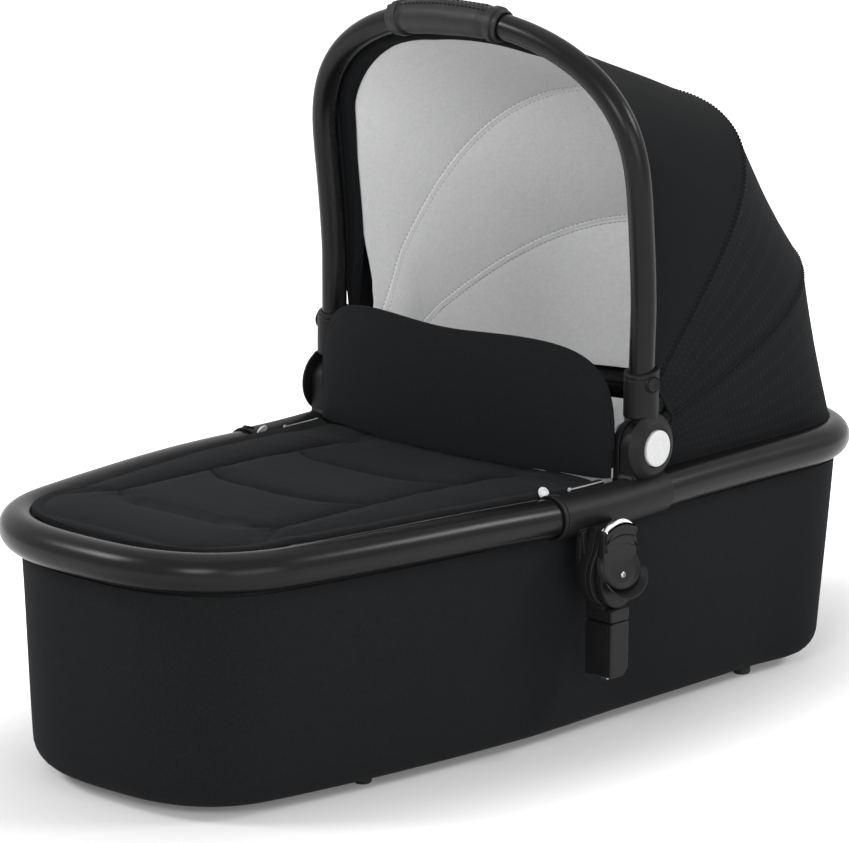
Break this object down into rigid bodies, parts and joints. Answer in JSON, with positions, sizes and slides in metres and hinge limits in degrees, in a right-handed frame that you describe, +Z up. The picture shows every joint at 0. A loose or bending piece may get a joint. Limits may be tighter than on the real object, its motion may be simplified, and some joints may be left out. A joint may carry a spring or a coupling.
{
  "type": "carrycot",
  "caption": "Pushchair carrycot: a fabric tub under an oval rim tube, with a quilted apron, an upright wind flap, a folding canopy, a carrying handle and chassis adapters.",
  "frame": {"origin": "on the floor, under the middle of the rim's outline", "axes": "+X towards the head end, +Z up, right side at -Y"},
  "size_m": [0.8588, 0.471, 0.6278],
  "materials": {
    "satin_black": "satin black anodised",
    "moulded_black": "fine moulded texture",
    "black_cloth": "matte woven, black",
    "canopy_cloth": "matte woven, black",
    "silver_cloth": "light grey woven",
    "grip_leather": "soft grained, black",
    "silver_paint": "satin silver",
    "chrome": "polished",
    "steel": "drawn",
    "board": "hardboard",
    "foam": "soft foam",
    "rubber": "matte"
  },
  "bodies": {
    "tub": {"rim_foot_tube": "satin_black", "rim_head_tube": "satin_black", "tub_cover": "black_cloth", "tub_shell": "moulded_black", "tub_padding": "foam", "base_board": "board", "tub_lining": "silver_cloth", "mattress": "silver_cloth", "apron": "black_cloth", "canopy_rear_panel": "canopy_cloth", "canopy_lining": "silver_cloth", "hinge_housing_right": "moulded_black", "hinge_pin_right": "steel", "snap_stud_right": "silver_paint", "foot_front_right": "rubber", "foot_rear_right": "rubber", "adapter_bracket_right": "moulded_black", "adapter_body_right": "moulded_black", "plug_tip_right": "moulded_black", "hinge_housing_left": "moulded_black", "hinge_pin_left": "steel", "snap_stud_left": "silver_paint", "foot_front_left": "rubber", "foot_rear_left": "rubber", "adapter_bracket_left": "moulded_black", "adapter_body_left": "moulded_black", "plug_tip_left": "moulded_black"},
    "handle": {"handle_tube": "satin_black", "handle_grip": "grip_leather", "canopy_front_panel": "canopy_cloth", "canopy_front_hem": "black_cloth", "hinge_cap_right": "moulded_black", "hinge_cap_left": "moulded_black"},
    "rib_1": {"canopy_rib_1": "steel", "canopy_middle_panel": "canopy_cloth"},
    "rib_2": {"canopy_rib_2": "steel"},
    "wind_flap": {"wind_flap": "black_cloth"},
    "hinge_button_right": {"hinge_button_right": "silver_paint"},
    "collar_button_right": {"collar_button_right": "moulded_black"},
    "release_slide_right": {"release_slide_right": "moulded_black", "release_trim_right": "chrome", "latch_rod_right": "steel", "slide_screw_right": "steel"},
    "hinge_button_left": {"hinge_button_left": "silver_paint"},
    "collar_button_left": {"collar_button_left": "moulded_black"},
    "release_slide_left": {"release_slide_left": "moulded_black", "release_trim_left": "chrome", "latch_rod_left": "steel", "slide_screw_left": "steel"}
  },
  "joints": [
    {"name": "handle_fold", "type": "hinge", "parent": "tub", "child": "handle", "pos_m": [0.0788, 0, 0.2572], "axis": [0, 1, 0], "range_deg": [0, 74], "deforming": ["canopy_front_panel", "canopy_middle_panel", "canopy_rear_panel", "canopy_lining", "canopy_front_hem"]},
    {"name": "rib_1_fold", "type": "hinge", "parent": "tub", "child": "rib_1", "pos_m": [0.0788, 0, 0.2572], "axis": [0, 1, 0], "range_deg": [0, 44], "deforming": ["canopy_front_panel", "canopy_middle_panel", "canopy_rear_panel", "canopy_lining", "canopy_front_hem"]},
    {"name": "rib_2_fold", "type": "hinge", "parent": "tub", "child": "rib_2", "pos_m": [0.0788, 0, 0.2572], "axis": [0, 1, 0], "range_deg": [0, 20.2], "deforming": ["canopy_front_panel", "canopy_middle_panel", "canopy_rear_panel", "canopy_lining", "canopy_front_hem"]},
    {"name": "wind_flap_fold", "type": "hinge", "parent": "tub", "child": "wind_flap", "pos_m": [0.0194, 0, 0.235], "axis": [0, -1, 0], "range_deg": [0, 80]},
    {"name": "hinge_button_press_right", "type": "slide", "parent": "handle", "child": "hinge_button_right", "axis": [0, 1, 0], "range_m": [0, 0.003], "stiffness_N_per_m": 1500, "springref_m": -0.002},
    {"name": "collar_button_press_right", "type": "slide", "parent": "handle", "child": "collar_button_right", "axis": [0, 1, 0], "range_m": [0, 0.0015], "stiffness_N_per_m": 1200, "springref_m": -0.002},
    {"name": "release_slide_lift_right", "type": "slide", "parent": "tub", "child": "release_slide_right", "axis": [0, 0, 1], "range_m": [0, 0.006], "stiffness_N_per_m": 1200, "springref_m": -0.004},
    {"name": "hinge_button_press_left", "type": "slide", "parent": "handle", "child": "hinge_button_left", "axis": [0, -1, 0], "range_m": [0, 0.003], "stiffness_N_per_m": 1500, "springref_m": -0.002},
    {"name": "collar_button_press_left", "type": "slide", "parent": "handle", "child": "collar_button_left", "axis": [0, -1, 0], "range_m": [0, 0.0015], "stiffness_N_per_m": 1200, "springref_m": -0.002},
    {"name": "release_slide_lift_left", "type": "slide", "parent": "tub", "child": "release_slide_left", "axis": [0, 0, 1], "range_m": [0, 0.006], "stiffness_N_per_m": 1200, "springref_m": -0.004}
  ],
  "couplings": [
    {"joint": "rib_1_fold", "follows": "handle_fold", "ratio": 0.59},
    {"joint": "rib_2_fold", "follows": "handle_fold", "ratio": 0.27}
  ]
}
